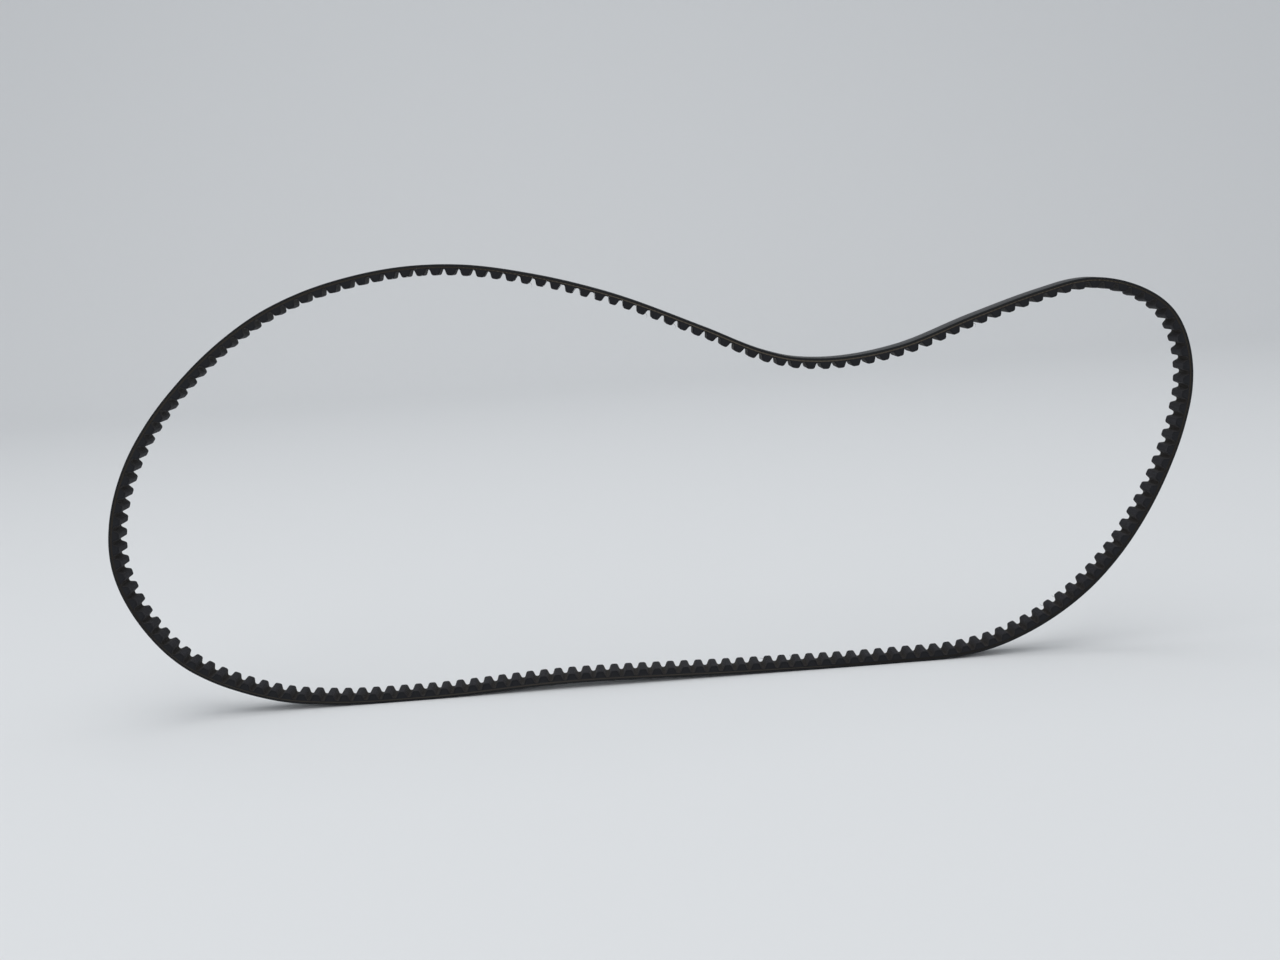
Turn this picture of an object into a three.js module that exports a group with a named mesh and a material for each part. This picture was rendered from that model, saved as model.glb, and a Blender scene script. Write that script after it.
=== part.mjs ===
// Toothed timing belt: an endless rubber belt with rounded teeth on its inner side.
// It stands slack on its smooth back, in the loose shape that it takes when it is set down off its pulleys.
// Millimetres. +Z is up, +X runs along the longer side of the loop and +Y across the belt's width.
// The origin is at the middle of the base of the belt's bounding box.
import * as THREE from "three";

// Drive sizes. The pitch line is the centre of the cords, and the belt's length is measured along it.
const toothCount = 180;
const toothPitch = 8;
const beltWidth = 12;
const beltLength = toothCount * toothPitch;

// Tooth form: sloping flanks, a tip with round shoulders, and a fillet where each flank meets the land.
// The width of a tooth is measured where the lines of its two flanks cross the land. The two fillets
// between neighbouring teeth take up most of the land there, and leave a narrow flat between them.
const toothHeight = 3.38;
const toothWidth = 6;
const flankAngle = THREE.MathUtils.degToRad(21);
const toothShoulderRadius = 1.2;
const toothRootRadius = 0.6 * (toothPitch - toothWidth);

// Layers, from the back of the belt to the land between the teeth.
const backThickness = 1.12;
const cordDiameter = 0.8;
const filmThickness = 0.08; // rubber left between the cords and the facing
const facingThickness = 0.17;
const bondGap = 0.018; // clearance between two layers that are bonded on the real belt

// Cords: two of them lie side by side and wind round the belt together, from one cut edge to the other.
const cordSpacing = 1.5;
const cordEdgeMargin = 0.3;
const cordSides = 4;

// The slack loop as [x, z] points of the pitch line, clockwise from the crest at the upper left.
// Only its shape counts: it is scaled to the belt's length.
const loopPoints = [
  [-120, 238], [-38, 224], [30, 196], [78, 176], [127, 176], [190, 195], [247, 207], [285, 189],
  [297, 152], [279, 89], [240, 36], [186, 6.2], [115, 1.4], [24, 2.8], [-65, 4.4], [-156, 1.6],
  [-221, 8.3], [-272, 36], [-297, 89], [-279, 150], [-206, 217],
];
const loopSamples = 2000;
const facetAngle = THREE.MathUtils.degToRad(10); // the loop bends by this much from one facet to the next
const facetLongest = 150;

// Distances from the pitch line, positive towards the back.
const cordRadius = cordDiameter / 2;
const backInside = cordRadius + bondGap;
const backOutside = backInside + backThickness;
const filmOutside = -cordRadius - bondGap;
const facingOutside = filmOutside - filmThickness - bondGap;
const landLine = facingOutside - facingThickness;

const outwards = (from, to) => new THREE.Vector2(from.y - to.y, to.x - from.x).normalize();

// The loop is a many-sided figure whose facets are short where it bends tightly and long where it runs
// straight. Each corner knows how far along the belt it lies, and which way an offset line's corner moves.
function loopCorners() {
  const smooth = new THREE.CatmullRomCurve3(
    loopPoints.map(([x, z]) => new THREE.Vector3(x, z, 0)), true, "centripetal");
  const samples = smooth.getPoints(loopSamples).map((p) => new THREE.Vector2(p.x, p.y));
  const bends = [0];
  for (let i = 1; i < loopSamples; i++) {
    const before = outwards(samples[i - 1], samples[i]);
    const after = outwards(samples[i], samples[i + 1]);
    const turn = Math.abs(before.cross(after)) / facetAngle;
    bends.push(bends[i - 1] + turn + samples[i].distanceTo(samples[i - 1]) / facetLongest);
  }
  const facetCount = Math.round(bends.at(-1));
  const points = Array.from({ length: facetCount }, (_, i) =>
    samples[bends.findIndex((bend) => bend >= (i * bends.at(-1)) / facetCount)].clone());
  const next = (i) => points[(i + 1) % facetCount];
  const perimeter = points.reduce((sum, point, i) => sum + point.distanceTo(next(i)), 0);
  points.forEach((point) => point.multiplyScalar(beltLength / perimeter));

  let along = 0;
  return points.map((point, i) => {
    const before = outwards(points.at(i - 1), point);
    const after = outwards(point, next(i));
    const mitre = before.clone().add(after).divideScalar(1 + before.dot(after));
    const corner = { point, mitre, along };
    along += point.distanceTo(next(i));
    return corner;
  });
}
const corners = loopCorners();

// The point of the loop's plane that lies `along` the pitch line and `out` from it.
// A line at one distance from the pitch line keeps the loop's corners, so layers never touch.
function place(along, out) {
  const here = THREE.MathUtils.euclideanModulo(along, beltLength);
  const index = corners.findLastIndex((corner) => corner.along <= here);
  const start = corners[index];
  const end = corners[(index + 1) % corners.length];
  const share = (here - start.along) / start.point.distanceTo(end.point);
  const from = start.point.clone().addScaledVector(start.mitre, out);
  const to = end.point.clone().addScaledVector(end.mitre, out);
  return from.lerp(to, share);
}

// One pitch of the toothed side as [along, out] points, centred on a tooth. A single facet stands for
// each fillet and shoulder. `inset` is how far the line lies inside the rubber, below the belt's surface.
function toothLine(inset) {
  const shoulderReach = toothShoulderRadius * Math.tan((Math.PI / 2 - flankAngle) / 2);
  const rootReach = toothRootRadius * Math.tan((Math.PI / 2 - flankAngle) / 2);
  const tipWidth = toothWidth - 2 * toothHeight * Math.tan(flankAngle);
  const rootAlong = toothWidth / 2 + rootReach;
  const rootOut = landLine - toothRootRadius;
  const shoulderAlong = tipWidth / 2 - shoulderReach;
  const shoulderOut = landLine - toothHeight + toothShoulderRadius;
  const rootRadius = toothRootRadius + inset;
  const shoulderRadius = toothShoulderRadius - inset;
  const flank = [Math.cos(flankAngle), Math.sin(flankAngle)];
  const half = [
    [rootAlong, rootOut + rootRadius],
    [rootAlong - rootRadius * flank[0], rootOut + rootRadius * flank[1]],
    [shoulderAlong + shoulderRadius * flank[0], shoulderOut - shoulderRadius * flank[1]],
    [shoulderAlong, shoulderOut - shoulderRadius],
  ];
  return [...half.map(([along, out]) => [-along, out]), ...half.toReversed()];
}

// How far the toothed side lies from the pitch line at any place along the belt.
function toothOut(line, along) {
  const fromTooth = THREE.MathUtils.euclideanModulo(along, toothPitch) - toothPitch / 2;
  const index = line.findIndex(([reach]) => reach > fromTooth);
  if (index <= 0) return line[0][1];
  const [[startAlong, startOut], [endAlong, endOut]] = [line[index - 1], line[index]];
  return THREE.MathUtils.mapLinear(fromTooth, startAlong, endAlong, startOut, endOut);
}

function smoothRing(out) {
  return corners.map((corner) => place(corner.along, out));
}

function toothedRing(inset) {
  const line = toothLine(inset);
  const stops = corners.map((corner) => corner.along);
  for (let tooth = 0; tooth < toothCount; tooth++) {
    const middle = (tooth + 0.5) * toothPitch;
    stops.push(...line.map(([reach]) => middle + reach));
  }
  return stops.sort((a, b) => a - b).map((along) => place(along, toothOut(line, along)));
}

// A layer of the belt: everything between two rings, over the belt's whole width.
function layer(outerRing, innerRing) {
  const section = new THREE.Shape(outerRing);
  section.holes.push(new THREE.Path(innerRing.toReversed()));
  const geometry = new THREE.ExtrudeGeometry(section, { depth: beltWidth, bevelEnabled: false });
  return geometry.rotateX(Math.PI / 2).translate(0, beltWidth / 2, 0);
}

// A cord starts near one cut edge and moves across the belt by two cord spacings a turn.
function cord(startAcross) {
  const advance = 2 * cordSpacing;
  const room = beltWidth - 2 * (cordEdgeMargin + cordRadius) - cordSpacing;
  const facets = Math.floor((room / advance) * corners.length);
  const geometry = new THREE.CylinderGeometry(cordRadius, cordRadius, 1, cordSides, facets);
  const rod = geometry.getAttribute("position");
  for (let i = 0; i < rod.count; i++) {
    const facet = Math.round((rod.getY(i) + 0.5) * facets);
    const turns = Math.floor(facet / corners.length);
    const along = turns * beltLength + corners[facet % corners.length].along;
    const point = place(along, rod.getX(i));
    const across = startAcross + (advance * along) / beltLength + rod.getZ(i);
    rod.setXYZ(i, point.x, across, point.y);
  }
  return geometry;
}

const belt = new THREE.Group();

function addPiece(name, geometry, color, roughness, metalness) {
  const material = new THREE.MeshStandardMaterial({ color, roughness, metalness });
  const mesh = new THREE.Mesh(geometry, material);
  mesh.name = name;
  belt.add(mesh);
}

const firstCord = -beltWidth / 2 + cordEdgeMargin + cordRadius;
const toothedSurface = toothedRing(0);
const facingBack = toothedRing(facingThickness);
const toothRubberSurface = toothedRing(facingThickness + bondGap);

addPiece("back_cover", layer(smoothRing(backOutside), smoothRing(backInside)), 0x45484c, 0.62, 0);
addPiece("tensile_cord_s", cord(firstCord), 0x6c6654, 0.7, 0);
addPiece("tensile_cord_z", cord(firstCord + cordSpacing), 0x6c6654, 0.7, 0);
addPiece("tooth_rubber", layer(smoothRing(filmOutside), toothRubberSurface), 0x26272b, 0.7, 0);
addPiece("tooth_facing", layer(facingBack, toothedSurface), 0x2a292d, 0.88, 0);

// Stand the belt on the plane z = 0, with the loop centred on the origin.
const box = new THREE.Box3().setFromObject(belt);
belt.position.set(-box.getCenter(new THREE.Vector3()).x, 0, -box.min.z);

export default belt;
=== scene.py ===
# Toothed timing belt, standing slack on its smooth back: the look of every layer of the belt.
# Metres, in the CAD frame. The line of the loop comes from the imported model.
import math
import random

import bmesh
import bpy
import numpy as np
from mathutils import Euler, Matrix, Vector
from mathutils.geometry import interpolate_bezier


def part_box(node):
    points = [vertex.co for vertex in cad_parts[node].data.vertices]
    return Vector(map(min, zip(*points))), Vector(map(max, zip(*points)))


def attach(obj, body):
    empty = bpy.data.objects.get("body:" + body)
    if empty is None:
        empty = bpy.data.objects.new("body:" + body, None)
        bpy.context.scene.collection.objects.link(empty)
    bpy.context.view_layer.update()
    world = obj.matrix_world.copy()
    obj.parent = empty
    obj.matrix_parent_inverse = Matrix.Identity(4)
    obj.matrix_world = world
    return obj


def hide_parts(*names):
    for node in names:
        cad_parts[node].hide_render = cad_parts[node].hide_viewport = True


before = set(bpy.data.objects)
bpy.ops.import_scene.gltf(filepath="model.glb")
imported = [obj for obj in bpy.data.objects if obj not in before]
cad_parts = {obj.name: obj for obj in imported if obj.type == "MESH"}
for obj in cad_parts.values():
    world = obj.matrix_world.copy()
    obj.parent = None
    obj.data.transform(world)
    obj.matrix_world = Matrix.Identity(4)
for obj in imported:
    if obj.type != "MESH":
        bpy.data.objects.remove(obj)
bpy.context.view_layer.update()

# The slack loop. Off its pulleys an endless belt springs into one smooth closed line.
# Each layer below is made straight, with its back up, and is then bent round this line.
mm = 0.001
tooth_pitch = 8 * mm
cord_diameter = 0.8 * mm
back_thickness = 1.12 * mm
bond_gap = 0.018 * mm
weld_distance = 0.002 * mm
points_per_facet = 24
sharp_corner = math.radians(45)
back_outside = cord_diameter / 2 + bond_gap + back_thickness


def outside_corners(layer_node):
    """The corners of a CAD layer's outside at one cut edge, clockwise from the highest one."""
    solid = bmesh.new()
    solid.from_mesh(layer_node.data)
    bmesh.ops.remove_doubles(solid, verts=solid.verts, dist=weld_distance)
    near_edge = min(vert.co.y for vert in solid.verts)
    rim = {
        edge
        for edge in solid.edges
        if max(vert.co.y for vert in edge.verts) < near_edge + weld_distance
        and edge.calc_face_angle(0) > sharp_corner
    }

    def beside(vert):
        return [edge.other_vert(vert) for edge in vert.link_edges if edge in rim]

    highest = max((vert for edge in rim for vert in edge.verts), key=lambda vert: vert.co.z)
    ring = [highest, max(beside(highest), key=lambda vert: vert.co.x)]
    while ring[-1] != highest:
        ring.append(next(vert for vert in beside(ring[-1]) if vert != ring[-2]))
    corners = [vert.co.copy() for vert in ring[:-1]]
    solid.free()
    return corners


def smooth_line(corners):
    """A smooth closed line through the corners, as rows of x and z.
    Handles a third as long as the chord between two corners bend it most like a circular arc."""
    headings = []
    for i, here in enumerate(corners):
        back = here - corners[i - 1]
        on = corners[(i + 1) % len(corners)] - here
        headings.append((back / back.length_squared + on / on.length_squared).normalized())
    line = []
    for i, start in enumerate(corners):
        after = (i + 1) % len(corners)
        end = corners[after]
        reach = (end - start).length / 3
        leave = start + headings[i] * reach
        arrive = end - headings[after] * reach
        line += interpolate_bezier(start, leave, arrive, end, points_per_facet + 1)[:-1]
    return np.array([(point.x, point.z) for point in line])


outer_line = smooth_line(outside_corners(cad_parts["back_cover"]))
box_low, box_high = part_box("back_cover")
belt_width = box_high.y - box_low.y
for axis, low, high in ((0, box_low.x, box_high.x), (1, box_low.z, box_high.z)):
    reach = (outer_line[:, axis].min(), outer_line[:, axis].max())
    outer_line[:, axis] = np.interp(outer_line[:, axis], reach, (low, high))

heading = np.roll(outer_line, -1, axis=0) - np.roll(outer_line, 1, axis=0)
heading /= np.linalg.norm(heading, axis=1, keepdims=True)
outwards = np.stack((-heading[:, 1], heading[:, 0]), axis=1)
pitch_line = outer_line - outwards * back_outside
gaps = np.linalg.norm(np.roll(pitch_line, -1, axis=0) - pitch_line, axis=1)
shares = np.concatenate(([0], np.cumsum(gaps)[:-1])) / gaps.sum()
tooth_count = round(gaps.sum() / tooth_pitch)
belt_length = tooth_count * tooth_pitch


def round_loop(straight):
    """Where points of the straight belt, as rows of along, across and out, lie in the loop."""
    along, across, out = straight.T
    line_x, line_z, out_x, out_z = (
        np.interp(along / belt_length, shares, column, period=1)
        for column in (*pitch_line.T, *outwards.T)
    )
    return np.stack((line_x + out_x * out, across, line_z + out_z * out), axis=1)


def bend_round_loop(belt):
    """Bends a straight layer into the loop and closes the seam where its two ends meet."""
    bent = round_loop(np.array([vert.co for vert in belt.verts]))
    for vert, place in zip(belt.verts, bent):
        vert.co = place
    bmesh.ops.remove_doubles(belt, verts=belt.verts, dist=weld_distance)
    bmesh.ops.recalc_face_normals(belt, faces=belt.faces)


# The back. Smooth chloroprene rubber over the cords, moulded with the rest and ground to thickness.
# It also fills the room between the cords, and at the cut edges that band lies a hair deeper.
station_length = 2 * mm
band_recess = 0.1 * mm
back_edge_radius = 0.12 * mm
half_width = belt_width / 2
cord_room = cord_diameter / 2
# The cord line's colour is scaled down towards the bottom: to the given share below the lower height,
# and left whole above the upper one.
darkening_bottom = 30 * mm
darkening_top = 150 * mm
darkest_share = 0.4
crisp_angle = math.radians(40)
# A colour mix keeps its two colours and its result at these places among its sockets.
colour_a = 6
colour_b = 7
mixed = 2


def add_piece(name, mesh, materials):
    """Puts a finished mesh into the scene with its materials, riding on the belt's one body."""
    for material in materials:
        mesh.materials.append(material)
    piece = bpy.data.objects.new(name, mesh)
    bpy.context.scene.collection.objects.link(piece)
    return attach(piece, "root")


def shaded_mesh(name, belt):
    """Turns a bmesh into a mesh that is smooth over its curves and crisp at its cut edges."""
    for edge in belt.edges:
        edge.smooth = edge.calc_face_angle(0) < crisp_angle
    for face in belt.faces:
        face.smooth = True
    mesh = bpy.data.meshes.new(name)
    belt.to_mesh(mesh)
    belt.free()
    return mesh


def linear(hex_colour):
    """An sRGB hex colour as the linear RGBA that shaders take."""
    channels = [int(hex_colour[i : i + 2], 16) / 255 for i in (1, 3, 5)]
    return [c / 12.92 if c <= 0.04045 else ((c + 0.055) / 1.055) ** 2.4 for c in channels] + [1]


def add_node(material, kind, inputs=(), **settings):
    """Adds a node. `inputs` pairs each input socket with a value or with the output that feeds it."""
    node = material.node_tree.nodes.new(kind)
    for name, value in settings.items():
        setattr(node, name, value)
    for socket, value in dict(inputs).items():
        if isinstance(value, bpy.types.NodeSocket):
            material.node_tree.links.new(value, node.inputs[socket])
        else:
            node.inputs[socket].default_value = value
    return node


def new_material(name):
    """An empty node material and its output node."""
    material = bpy.data.materials.new(name)
    material.use_nodes = True
    material.node_tree.nodes.clear()
    return material, add_node(material, "ShaderNodeOutputMaterial")


def ground_chloroprene():
    """Black chloroprene with a ground surface: a satin dark grey with faint marks across the belt."""
    material, output = new_material("ground_chloroprene")
    place = add_node(material, "ShaderNodeTexCoord").outputs["UV"]
    cloudy = add_node(
        material, "ShaderNodeTexNoise", {"Vector": place, "Scale": 1 / (14 * mm), "Detail": 4}
    )
    colour = add_node(
        material,
        "ShaderNodeMix",
        {"Factor": cloudy.outputs["Fac"], colour_a: linear("#242628"), colour_b: linear("#313335")},
        data_type="RGBA",
    )
    # Grinding marks run across the belt, about 0.5 mm apart and 12 mm long.
    along_marks = add_node(
        material,
        "ShaderNodeMapping",
        {"Vector": place, "Scale": (1 / (0.5 * mm), 1 / (12 * mm), 1)},
    )
    marks = add_node(
        material,
        "ShaderNodeTexNoise",
        {"Vector": along_marks.outputs["Vector"], "Scale": 1, "Detail": 3},
    )
    grit = add_node(
        material, "ShaderNodeTexNoise", {"Vector": place, "Scale": 1 / (0.3 * mm), "Detail": 2}
    )
    relief = add_node(
        material,
        "ShaderNodeMath",
        {0: marks.outputs["Fac"], 1: grit.outputs["Fac"]},
        operation="ADD",
    )
    bump = add_node(
        material,
        "ShaderNodeBump",
        {"Height": relief.outputs["Value"], "Strength": 0.5, "Distance": 0.05 * mm},
    )
    gloss = add_node(
        material,
        "ShaderNodeMapRange",
        {"Value": marks.outputs["Fac"], "To Min": 0.46, "To Max": 0.66},
    )
    rubber = add_node(
        material,
        "ShaderNodeBsdfPrincipled",
        {
            "Base Color": colour.outputs[mixed],
            "Roughness": gloss.outputs["Result"],
            "Normal": bump.outputs["Normal"],
            "Specular IOR Level": 0.35,
            "IOR": 1.52,
        },
    )
    material.node_tree.links.new(rubber.outputs["BSDF"], output.inputs["Surface"])
    return material


def sliced_chloroprene(name, dark, light):
    """Chloroprene cut by a knife: dull, and streaked along the cut."""
    material, output = new_material(name)
    place = add_node(material, "ShaderNodeTexCoord").outputs["Object"]
    streaks = add_node(
        material, "ShaderNodeTexNoise", {"Vector": place, "Scale": 1 / (0.6 * mm), "Detail": 4}
    )
    colour = add_node(
        material,
        "ShaderNodeMix",
        {"Factor": streaks.outputs["Fac"], colour_a: linear(dark), colour_b: linear(light)},
        data_type="RGBA",
    )
    bump = add_node(
        material,
        "ShaderNodeBump",
        {"Height": streaks.outputs["Fac"], "Strength": 0.6, "Distance": 0.06 * mm},
    )
    rubber = add_node(
        material,
        "ShaderNodeBsdfPrincipled",
        {
            "Base Color": colour.outputs[mixed],
            "Roughness": 0.72,
            "Normal": bump.outputs["Normal"],
            "Specular IOR Level": 0.2,
            "IOR": 1.52,
        },
    )
    material.node_tree.links.new(rubber.outputs["BSDF"], output.inputs["Surface"])
    return material


def darken_low_down(material):
    """Darkens a colour of the cord line towards the bottom of the loop, most on the lower run."""
    rubber = next(node for node in material.node_tree.nodes if node.type == "BSDF_PRINCIPLED")
    undarkened = rubber.inputs["Base Color"].links[0].from_socket
    place = add_node(material, "ShaderNodeTexCoord").outputs["Object"]
    height = add_node(material, "ShaderNodeSeparateXYZ", {0: place}).outputs["Z"]
    shade = add_node(
        material,
        "ShaderNodeMapRange",
        {"Value": height, "From Min": darkening_bottom, "From Max": darkening_top, "To Min": darkest_share},
    )
    darkened = add_node(
        material,
        "ShaderNodeVectorMath",
        {0: undarkened, "Scale": shade.outputs["Result"]},
        operation="SCALE",
    )
    material.node_tree.links.new(darkened.outputs["Vector"], rubber.inputs["Base Color"])
    return material


def back_layer():
    """The back's section, drawn once and swept along the straight belt."""
    belt = bmesh.new()
    band_side = half_width - band_recess
    half_section = [
        (half_width, back_outside),
        (half_width, cord_room),
        (band_side, cord_room),
        (band_side, -cord_room),
    ]
    section = half_section + [(-across, out) for across, out in reversed(half_section)]
    verts = [belt.verts.new((0, across, out)) for across, out in section]
    edges = [belt.edges.new((verts[i - 1], vert)) for i, vert in enumerate(verts)]
    bmesh.ops.spin(
        belt,
        geom=verts + edges,
        axis=(1, 0, 0),
        dvec=(station_length, 0, 0),
        angle=0,
        steps=round(belt_length / station_length),
    )
    top_edges = [
        edge
        for edge in belt.edges
        if all(vert.co.z > back_outside - weld_distance for vert in edge.verts)
        and abs(edge.verts[0].co.y - edge.verts[1].co.y) < weld_distance
    ]
    bmesh.ops.bevel(
        belt,
        geom=top_edges,
        offset=back_edge_radius,
        affect="EDGES",
        segments=2,
        profile=0.5,
        material=-1,
    )
    return belt


def write_uv(belt, along_of):
    """Stores where each face corner lies on the straight belt: along it and across it, in metres."""
    layer = belt.loops.layers.uv.new("along_across")
    for face in belt.faces:
        for corner in face.loops:
            corner[layer].uv = (along_of(corner.vert), corner.vert.co.y)


back = back_layer()
write_uv(back, lambda vert: vert.co.x)
# The knives cut the rubber over the cords (slot 1) and bare the band between them (slot 2).
for face in back.faces:
    centre = face.calc_center_median()
    on_cut_edge = abs(centre.y) > half_width - 2 * band_recess
    if on_cut_edge:
        face.material_index = 1 if centre.z > cord_room else 2
bend_round_loop(back)
back_rubber = add_piece(
    "back_rubber",
    shaded_mesh("back_rubber", back),
    [
        ground_chloroprene(),
        sliced_chloroprene("sliced_back_chloroprene", "#131416", "#1f2022"),
        darken_low_down(sliced_chloroprene("cord_adhesion_rubber", "#231f19", "#38322a")),
    ],
)
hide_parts("back_cover")

# The tensile cords. Glass fibre strands, twisted together and dipped in brown adhesive.
# One has an S twist and one a Z twist. They wind side by side, and the slitting knives cut into them.
cord_spacing = 1.5 * mm
cord_lay = 9 * mm
cord_step = 2.25 * mm
strands = 3
points_per_strand = 4
strand_groove = 0.8
cord_advance = 2 * cord_spacing / belt_length
cord_run = (belt_width + cord_diameter) / cord_advance


def cord_section():
    """The outline of three strands laid together, as the profile of the cord's curve."""
    profile = bpy.data.curves.new("cord_section", "CURVE")
    spline = profile.splines.new("POLY")
    count = strands * points_per_strand
    spline.points.add(count - 1)
    spline.use_cyclic_u = True
    for i, point in enumerate(spline.points):
        radius = cord_room * (strand_groove if i % points_per_strand == 0 else 1)
        angle = math.tau * i / count
        point.co = (radius * math.cos(angle), radius * math.sin(angle), 0, 1)
    holder = bpy.data.objects.new("cord_section", profile)
    bpy.context.scene.collection.objects.link(holder)
    return holder


def glass_fibre(name):
    """Dipped glass fibre: a dull brown yarn, paler where the knife has bared the filaments."""
    material, output = new_material(name)
    place = add_node(material, "ShaderNodeTexCoord").outputs["Object"]
    filaments = add_node(
        material, "ShaderNodeTexNoise", {"Vector": place, "Scale": 1 / (0.4 * mm), "Detail": 5}
    )
    colour = add_node(
        material,
        "ShaderNodeMix",
        {"Factor": filaments.outputs["Fac"], colour_a: linear("#2b2620"), colour_b: linear("#534a3b")},
        data_type="RGBA",
    )
    bump = add_node(
        material,
        "ShaderNodeBump",
        {"Height": filaments.outputs["Fac"], "Strength": 0.7, "Distance": 0.05 * mm},
    )
    yarn = add_node(
        material,
        "ShaderNodeBsdfPrincipled",
        {"Base Color": colour.outputs[mixed], "Roughness": 0.68, "Normal": bump.outputs["Normal"]},
    )
    material.node_tree.links.new(yarn.outputs["BSDF"], output.inputs["Surface"])
    return material


def swept_tube(path):
    """The closed tube that a bevelled curve sweeps."""
    holder = bpy.data.objects.new(path.name, path)
    bpy.context.scene.collection.objects.link(holder)
    bpy.context.view_layer.update()
    swept = holder.evaluated_get(bpy.context.evaluated_depsgraph_get()).to_mesh()
    tube = bmesh.new()
    tube.from_mesh(swept)
    bpy.data.objects.remove(holder)
    bmesh.ops.remove_doubles(tube, verts=tube.verts, dist=weld_distance)
    return tube


def cord_mesh(name, section, start_across, turn):
    """A twisted cord, wound from beyond one cut edge to beyond the other and then cut flush."""
    path = bpy.data.curves.new(name, "CURVE")
    path.dimensions = "3D"
    path.twist_mode = "Z_UP"
    path.bevel_mode = "OBJECT"
    path.bevel_object = section
    path.use_fill_caps = True
    along = np.arange(0, cord_run, cord_step) + start_across / cord_advance
    across = -half_width - cord_room + cord_advance * (along - along[0])
    spots = round_loop(np.stack((along, across, np.zeros_like(along)), axis=1))
    spline = path.splines.new("POLY")
    spline.points.add(len(spots) - 1)
    for point, spot, run in zip(spline.points, spots, along):
        point.co = (*spot, 1)
        point.tilt = turn * math.tau * run / cord_lay
    cord = swept_tube(path)
    for side in (-1, 1):
        cut = bmesh.ops.bisect_plane(
            cord,
            geom=cord.verts[:] + cord.edges[:] + cord.faces[:],
            plane_co=(0, side * half_width, 0),
            plane_no=(0, side, 0),
            clear_outer=True,
        )
        rim = [item for item in cut["geom_cut"] if isinstance(item, bmesh.types.BMEdge)]
        filled = bmesh.ops.holes_fill(cord, edges=rim, sides=0)
        bmesh.ops.triangulate(cord, faces=filled["faces"])
    bmesh.ops.recalc_face_normals(cord, faces=cord.faces)
    return shaded_mesh(name, cord)


section = cord_section()
for twist, turn, start_across in (("s", 1, 0), ("z", -1, cord_spacing)):
    glass_cord = add_piece(
        "glass_cord_" + twist,
        cord_mesh("glass_cord_" + twist, section, start_across, turn),
        [darken_low_down(glass_fibre("dipped_glass_fibre_" + twist))],
    )
    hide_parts("tensile_cord_" + twist)
bpy.data.objects.remove(section)

# The teeth. Black chloroprene, moulded in one with the film of rubber under the cords.
# Each has sloping flanks, a flat tip with round shoulders, and fillets where it meets the lands.
tooth_height = 3.38 * mm
tooth_width = 6 * mm
flank_slope = math.radians(21)
shoulder_radius = 1.2 * mm
root_radius = 0.6 * (tooth_pitch - tooth_width)
film_thickness = 0.08 * mm
facing_thickness = 0.17 * mm
fillet_steps = 3
shoulder_steps = 4
film_outside = -cord_diameter / 2 - bond_gap
land_line = film_outside - film_thickness - bond_gap - facing_thickness


def one_pitch(belt, inset):
    """One pitch of the toothed line, centred on a tooth and drawn `inset` inside the belt's surface.
    Returns the layer that says how far each point lies along the line, and the line's length."""
    turn = math.pi / 2 - flank_slope
    root_along = tooth_width / 2 + root_radius * math.tan(turn / 2)
    tip_width = tooth_width - 2 * tooth_height * math.tan(flank_slope)
    shoulder_along = tip_width / 2 - shoulder_radius * math.tan(turn / 2)
    root_centre = Vector((-root_along, 0, land_line - root_radius))
    shoulder_centre = Vector((-shoulder_along, 0, land_line - tooth_height + shoulder_radius))
    off_flank = Vector((-math.cos(flank_slope), 0, -math.sin(flank_slope)))

    def draw_arc(start, centre, angle, steps):
        arc = bmesh.ops.spin(
            belt, geom=[start], cent=centre, axis=(0, 1, 0), angle=angle, steps=steps
        )
        return next(item for item in arc["geom_last"] if isinstance(item, bmesh.types.BMVert))

    land = belt.verts.new((-tooth_pitch / 2, 0, land_line + inset))
    foot = belt.verts.new((-root_along, 0, land_line + inset))
    flank_top = draw_arc(foot, root_centre, turn, fillet_steps)
    flank_end = belt.verts.new(shoulder_centre + off_flank * (shoulder_radius - inset))
    shoulder_end = draw_arc(flank_end, shoulder_centre, -turn, shoulder_steps)
    tip = belt.verts.new((0, 0, shoulder_end.co.z))
    for pair in ((land, foot), (flank_top, flank_end), (shoulder_end, tip)):
        belt.edges.new(pair)
    bmesh.ops.mirror(
        belt,
        geom=belt.verts[:] + belt.edges[:],
        matrix=Matrix.Identity(4),
        merge_dist=weld_distance,
        axis="X",
    )
    bmesh.ops.translate(belt, verts=belt.verts, vec=(tooth_pitch / 2, 0, 0))
    run = belt.verts.layers.float.new("run")
    line = sorted(belt.verts, key=lambda vert: vert.co.x)
    for before, after in zip(line, line[1:]):
        after[run] = before[run] + (after.co - before.co).length
    return run, line[-1][run]


def repeat_pitch(belt, run, pitch_run):
    """Copies one pitch of a layer along the whole belt and joins the copies."""
    pitch = belt.verts[:] + belt.edges[:] + belt.faces[:]
    for tooth in range(1, tooth_count):
        copied = bmesh.ops.duplicate(belt, geom=pitch)["geom"]
        verts = [item for item in copied if isinstance(item, bmesh.types.BMVert)]
        bmesh.ops.translate(belt, verts=verts, vec=(tooth * tooth_pitch, 0, 0))
        for vert in verts:
            vert[run] += tooth * pitch_run
    bmesh.ops.remove_doubles(belt, verts=belt.verts, dist=weld_distance)


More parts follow.
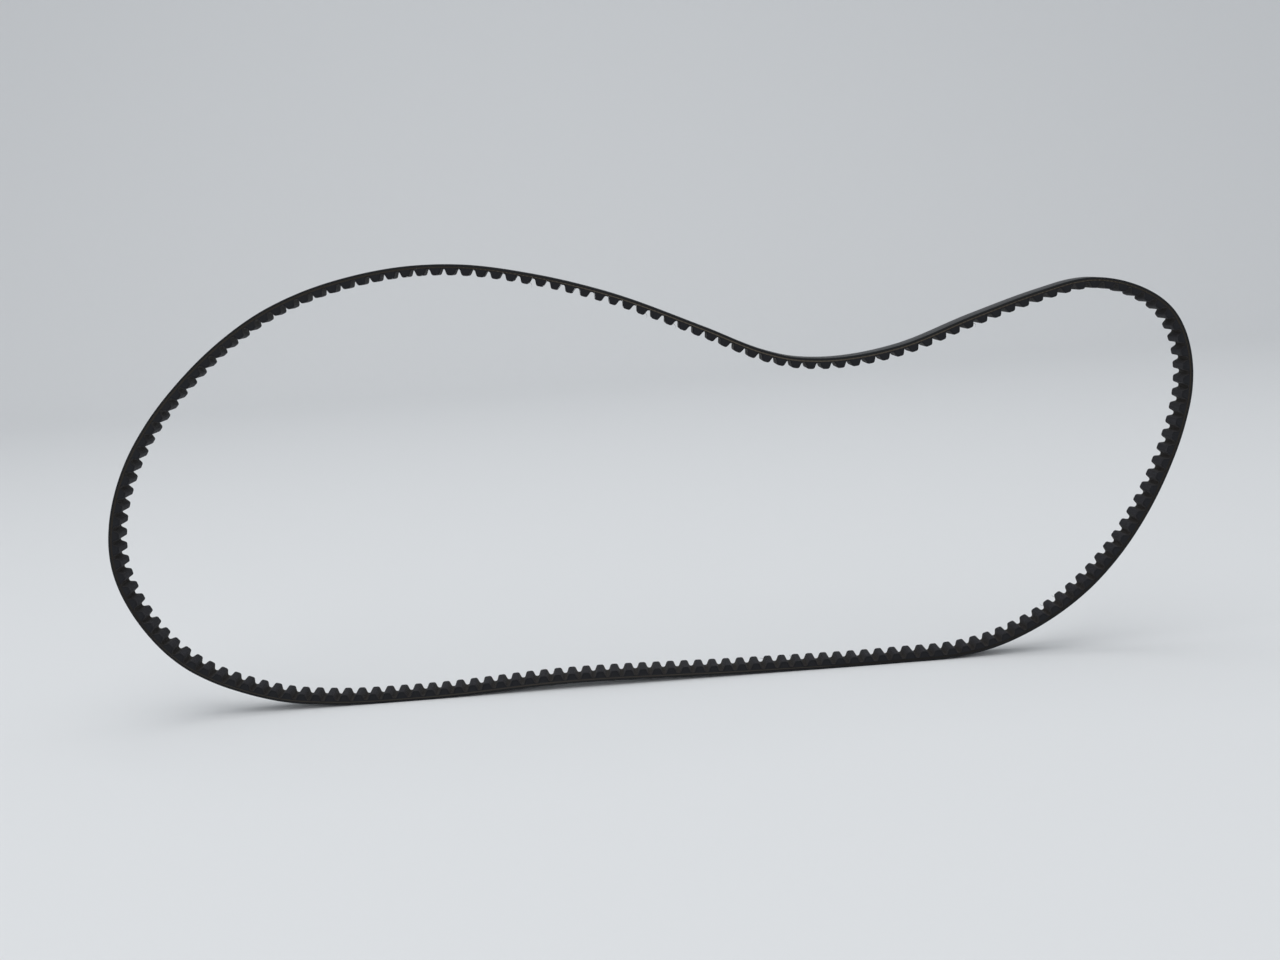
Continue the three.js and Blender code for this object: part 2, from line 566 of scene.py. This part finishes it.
teeth = bmesh.new()
run, pitch_run = one_pitch(teeth, facing_thickness + bond_gap)
risen = bmesh.ops.extrude_edge_only(teeth, edges=teeth.edges)["geom"]
for item in risen:
    if isinstance(item, bmesh.types.BMVert):
        item.co.z = film_outside
bmesh.ops.translate(teeth, verts=teeth.verts, vec=(0, -half_width, 0))
repeat_pitch(teeth, run, pitch_run)
bend_round_loop(teeth)
slab = bmesh.ops.extrude_face_region(teeth, geom=teeth.faces[:])["geom"]
far_side = [item for item in slab if isinstance(item, bmesh.types.BMVert)]
bmesh.ops.translate(teeth, verts=far_side, vec=(0, belt_width, 0))
bmesh.ops.recalc_face_normals(teeth, faces=teeth.faces)
moulded_teeth = add_piece(
    "moulded_teeth",
    shaded_mesh("moulded_teeth", teeth),
    [sliced_chloroprene("sliced_tooth_chloroprene", "#131417", "#202125")],
)
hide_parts("tooth_rubber")

# The tooth facing. One sleeve of woven nylon, stretched over the teeth and lands in the mould.
# It carries the wear, so it is rubbed at the tips of the teeth, and the knives bare its threads.
warp_spacing = 0.7 * mm
weft_spacing = 0.55 * mm
wave_factor = 20  # a wave texture multiplies its place by this before it takes the sine


def wave_scale(spacing):
    """The scale at which a wave texture repeats once in each `spacing`."""
    return math.tau / wave_factor / spacing


def woven_nylon():
    """Nylon cloth soaked in black rubber: matt, with a fine weave. It is greyer and a little bluish at
    the tips:
    partly wear where it is rubbed, partly a painted reflection of the bluish light the tips catch. It
    is browner in the lands, where dust stays. Its threads are too fine to show, so they are drawn about
    twice as coarse."""
    material, output = new_material("woven_nylon")
    place = add_node(material, "ShaderNodeTexCoord").outputs["UV"]
    warp = add_node(
        material,
        "ShaderNodeTexWave",
        {"Vector": place, "Scale": wave_scale(warp_spacing), "Distortion": 0.6, "Detail": 1},
        bands_direction="X",
    )
    weft = add_node(
        material,
        "ShaderNodeTexWave",
        {"Vector": place, "Scale": wave_scale(weft_spacing), "Distortion": 0.6, "Detail": 1},
        bands_direction="Y",
    )
    weave = add_node(
        material,
        "ShaderNodeMath",
        {0: warp.outputs["Fac"], 1: weft.outputs["Fac"]},
        operation="MULTIPLY",
    )
    lint = add_node(
        material, "ShaderNodeTexNoise", {"Vector": place, "Scale": 1 / (3 * mm), "Detail": 6}
    )
    along = add_node(material, "ShaderNodeSeparateXYZ", {0: place}).outputs["X"]
    in_pitch = add_node(material, "ShaderNodeMath", {0: along, 1: pitch_run}, operation="DIVIDE")
    part = add_node(material, "ShaderNodeMath", {0: in_pitch.outputs[0]}, operation="FRACT")
    off_tip = add_node(
        material, "ShaderNodeMath", {0: part.outputs[0], 1: 0.5}, operation="SUBTRACT"
    )
    distance = add_node(material, "ShaderNodeMath", {0: off_tip.outputs[0]}, operation="ABSOLUTE")
    in_land = add_node(
        material,
        "ShaderNodeMapRange",
        {"Value": distance.outputs[0], "From Min": 0.1, "From Max": 0.42},
    )
    # From tip to land: a bluish grey at the tips, partly wear and partly a painted reflection of bluish
    # light, to a browner tone in the lands for dust.
    cloth = add_node(
        material,
        "ShaderNodeMix",
        {"Factor": in_land.outputs["Result"], colour_a: linear("#1b1b21"), colour_b: linear("#2a2623")},
        data_type="RGBA",
    )
    thread = add_node(
        material,
        "ShaderNodeMapRange",
        {"Value": weave.outputs["Value"], "To Min": 0.6, "To Max": 1.15},
    )
    patchy = add_node(
        material,
        "ShaderNodeMapRange",
        {
            "Value": lint.outputs["Fac"],
            "From Min": 0.3,
            "From Max": 0.7,
            "To Min": 0.75,
            "To Max": 1.2,
        },
    )
    tone = add_node(
        material,
        "ShaderNodeMath",
        {0: thread.outputs["Result"], 1: patchy.outputs["Result"]},
        operation="MULTIPLY",
    )
    colour = add_node(
        material,
        "ShaderNodeVectorMath",
        {0: cloth.outputs[mixed], "Scale": tone.outputs["Value"]},
        operation="SCALE",
    )
    bump = add_node(
        material,
        "ShaderNodeBump",
        {"Height": weave.outputs["Value"], "Strength": 0.8, "Distance": 0.08 * mm},
    )
    nylon = add_node(
        material,
        "ShaderNodeBsdfPrincipled",
        {
            "Base Color": colour.outputs["Vector"],
            "Roughness": 0.8,
            "Normal": bump.outputs["Normal"],
            "Specular IOR Level": 0.2,
            "Sheen Weight": 0.06,
            "Sheen Roughness": 0.4,
            "IOR": 1.53,
        },
    )
    material.node_tree.links.new(nylon.outputs["BSDF"], output.inputs["Surface"])
    return material


def cut_nylon(name, dark, light):
    """Bare nylon filaments, at the knife's cut or in a torn thread: off-white, dulled by rubber."""
    material, output = new_material(name)
    place = add_node(material, "ShaderNodeTexCoord").outputs["Object"]
    ends = add_node(
        material, "ShaderNodeTexNoise", {"Vector": place, "Scale": 1 / (0.8 * mm), "Detail": 3}
    )
    colour = add_node(
        material,
        "ShaderNodeMix",
        {"Factor": ends.outputs["Fac"], colour_a: linear(dark), colour_b: linear(light)},
        data_type="RGBA",
    )
    nylon = add_node(
        material,
        "ShaderNodeBsdfPrincipled",
        {"Base Color": colour.outputs[mixed], "Roughness": 0.75, "IOR": 1.53},
    )
    material.node_tree.links.new(nylon.outputs["BSDF"], output.inputs["Surface"])
    return material


sleeve = bmesh.new()
run, pitch_run = one_pitch(sleeve, 0)
bmesh.ops.translate(sleeve, verts=sleeve.verts, vec=(0, -half_width, 0))
bmesh.ops.spin(
    sleeve,
    geom=sleeve.verts[:] + sleeve.edges[:],
    axis=(0, 1, 0),
    dvec=(0, belt_width, 0),
    angle=0,
    steps=1,
)
repeat_pitch(sleeve, run, pitch_run)
write_uv(sleeve, lambda vert: vert[run])
bend_round_loop(sleeve)
bmesh.ops.solidify(sleeve, geom=sleeve.faces[:], thickness=facing_thickness)
bmesh.ops.recalc_face_normals(sleeve, faces=sleeve.faces)
for face in sleeve.faces:
    face.material_index = 1 if abs(face.normal.y) > 0.5 else 0
woven_facing = add_piece(
    "woven_facing",
    shaded_mesh("woven_facing", sleeve),
    [woven_nylon(), cut_nylon("cut_nylon_edge", "#141418", "#222125")],
)
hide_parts("tooth_facing")

# The frayed threads. At a few teeth the knife has pulled a nylon filament loose from the facing.
# Each is a short grey fibre that is still held on a tooth's flank, and curls into the gap beside it.
thread_radius = 0.12 * mm
thread_step = 0.5 * mm
thread_steps = 8
thread_curl = 0.45
curl_along = (-1, 0.5)
curl_inwards = (0, 0.6)
curl_out = (-1, 0.4)
thread_root_depth = 0.6 * tooth_height
frayed_near_teeth = (7, 15, 17, 38)
frayed_far_teeth = (76, 77, 96, 98)
loose = random.Random(8)


def frayed_threads():
    """One loose fibre for each frayed tooth, as thin tapering curves."""
    fibres = bpy.data.curves.new("frayed_threads", "CURVE")
    fibres.dimensions = "3D"
    fibres.bevel_depth = thread_radius
    fibres.bevel_resolution = 1
    fibres.use_fill_caps = True
    torn = [(tooth, -1) for tooth in frayed_near_teeth]
    torn += [(tooth, 1) for tooth in frayed_far_teeth]
    root_along = tooth_width / 2 - thread_root_depth * math.tan(flank_slope)
    for tooth, side in torn:
        root = (
            (tooth + 0.5) * tooth_pitch + root_along,
            side * (half_width - 2 * thread_radius),
            land_line - thread_root_depth,
        )
        spots = [Vector(root)]
        step = Vector((1, 0, loose.uniform(-1, 0))).normalized()
        for _ in range(thread_steps):
            spots.append(spots[-1] + step * thread_step)
            curl = (
                loose.uniform(*curl_along),
                -side * loose.uniform(*curl_inwards),
                loose.uniform(*curl_out),
            )
            step = (step + thread_curl * Vector(curl)).normalized()
        spline = fibres.splines.new("POLY")
        spline.points.add(thread_steps)
        for i, spot in enumerate(round_loop(np.array(spots))):
            spline.points[i].co = (*spot, 1)
            spline.points[i].radius = 1 - i / (thread_steps + 1)
    return fibres


frayed = add_piece(
    "frayed_threads",
    shaded_mesh("frayed_threads", swept_tube(frayed_threads())),
    [cut_nylon("bare_nylon_fibre", "#5d5b57", "#8b8882")],
)

# The floor, the light and the camera. None of them is part of the belt.
# A pale sheet lies flat under the belt and curves up far behind it. The light is broad and soft.
stage_width = 12
floor_front = -6
floor_back = 1.6
sweep_radius = 1.2
sweep_steps = 24
wall_height = 4
room_light = 0.8
ceiling_place = (-0.2, -0.3, 2.2)
ceiling_size = 2.4
ceiling_watts = 24
window_place = (-1.2, -2.2, 1.4)
window_size = 2.0
window_watts = 6

sheet = bmesh.new()
front = sheet.verts.new((-stage_width / 2, floor_front, 0))
turn_start = sheet.verts.new((-stage_width / 2, floor_back, 0))
sheet.edges.new((front, turn_start))
curve = bmesh.ops.spin(
    sheet,
    geom=[turn_start],
    cent=(0, floor_back, sweep_radius),
    axis=(1, 0, 0),
    angle=math.pi / 2,
    steps=sweep_steps,
)
turn_end = next(item for item in curve["geom_last"] if isinstance(item, bmesh.types.BMVert))
top = sheet.verts.new(turn_end.co + Vector((0, 0, wall_height)))
sheet.edges.new((turn_end, top))
bmesh.ops.spin(
    sheet,
    geom=sheet.verts[:] + sheet.edges[:],
    axis=(1, 0, 0),
    dvec=(stage_width, 0, 0),
    angle=0,
    steps=1,
)
bmesh.ops.recalc_face_normals(sheet, faces=sheet.faces)
paper, paper_output = new_material("pale_paper")
matt = add_node(
    paper,
    "ShaderNodeBsdfPrincipled",
    {"Base Color": linear("#dcdedf"), "Roughness": 0.9, "Specular IOR Level": 0.2},
)
paper.node_tree.links.new(matt.outputs["BSDF"], paper_output.inputs["Surface"])
sheet_mesh = shaded_mesh("pale_sheet", sheet)
sheet_mesh.materials.append(paper)
pale_sheet = bpy.data.objects.new("pale_sheet", sheet_mesh)
bpy.context.scene.collection.objects.link(pale_sheet)

world = bpy.data.worlds.new("soft_room")
world.use_nodes = True
world.node_tree.nodes["Background"].inputs["Color"].default_value = linear("#e6e8ec")
world.node_tree.nodes["Background"].inputs["Strength"].default_value = room_light
bpy.context.scene.world = world


def soft_light(name, place, aim, size, power):
    """A square lamp that faces the point it is aimed at."""
    lamp = bpy.data.lights.new(name, "AREA")
    lamp.size = size
    lamp.energy = power
    holder = bpy.data.objects.new(name, lamp)
    holder.location = place
    holder.rotation_euler = (Vector(aim) - Vector(place)).to_track_quat("-Z", "Y").to_euler()
    bpy.context.scene.collection.objects.link(holder)


belt_middle = (0, 0, (box_low.z + box_high.z) / 2)
soft_light("ceiling", ceiling_place, belt_middle, ceiling_size, ceiling_watts)
soft_light("window", window_place, belt_middle, window_size, window_watts)

bpy.context.scene.view_settings.view_transform = "Standard"

# The camera stands 0.66 m in front of the belt, a little left of its middle and level with its top.
# It looks down 11 degrees and 2 to the right, and is tipped sideways by 4, as one held by hand is.
camera_place = (-0.0255, -0.664, 0.2388)
camera_turn = (79.44, 3.85, -2.25)
film_width = 36
focal_length = 34.45
nearest_seen = 10 * mm

lens = bpy.data.cameras.new("camera")
lens.sensor_width = film_width
lens.lens = focal_length
lens.clip_start = nearest_seen
camera = bpy.data.objects.new("camera", lens)
camera.location = camera_place
camera.rotation_euler = Euler(math.radians(turn) for turn in camera_turn)
bpy.context.scene.collection.objects.link(camera)
bpy.context.scene.camera = camera
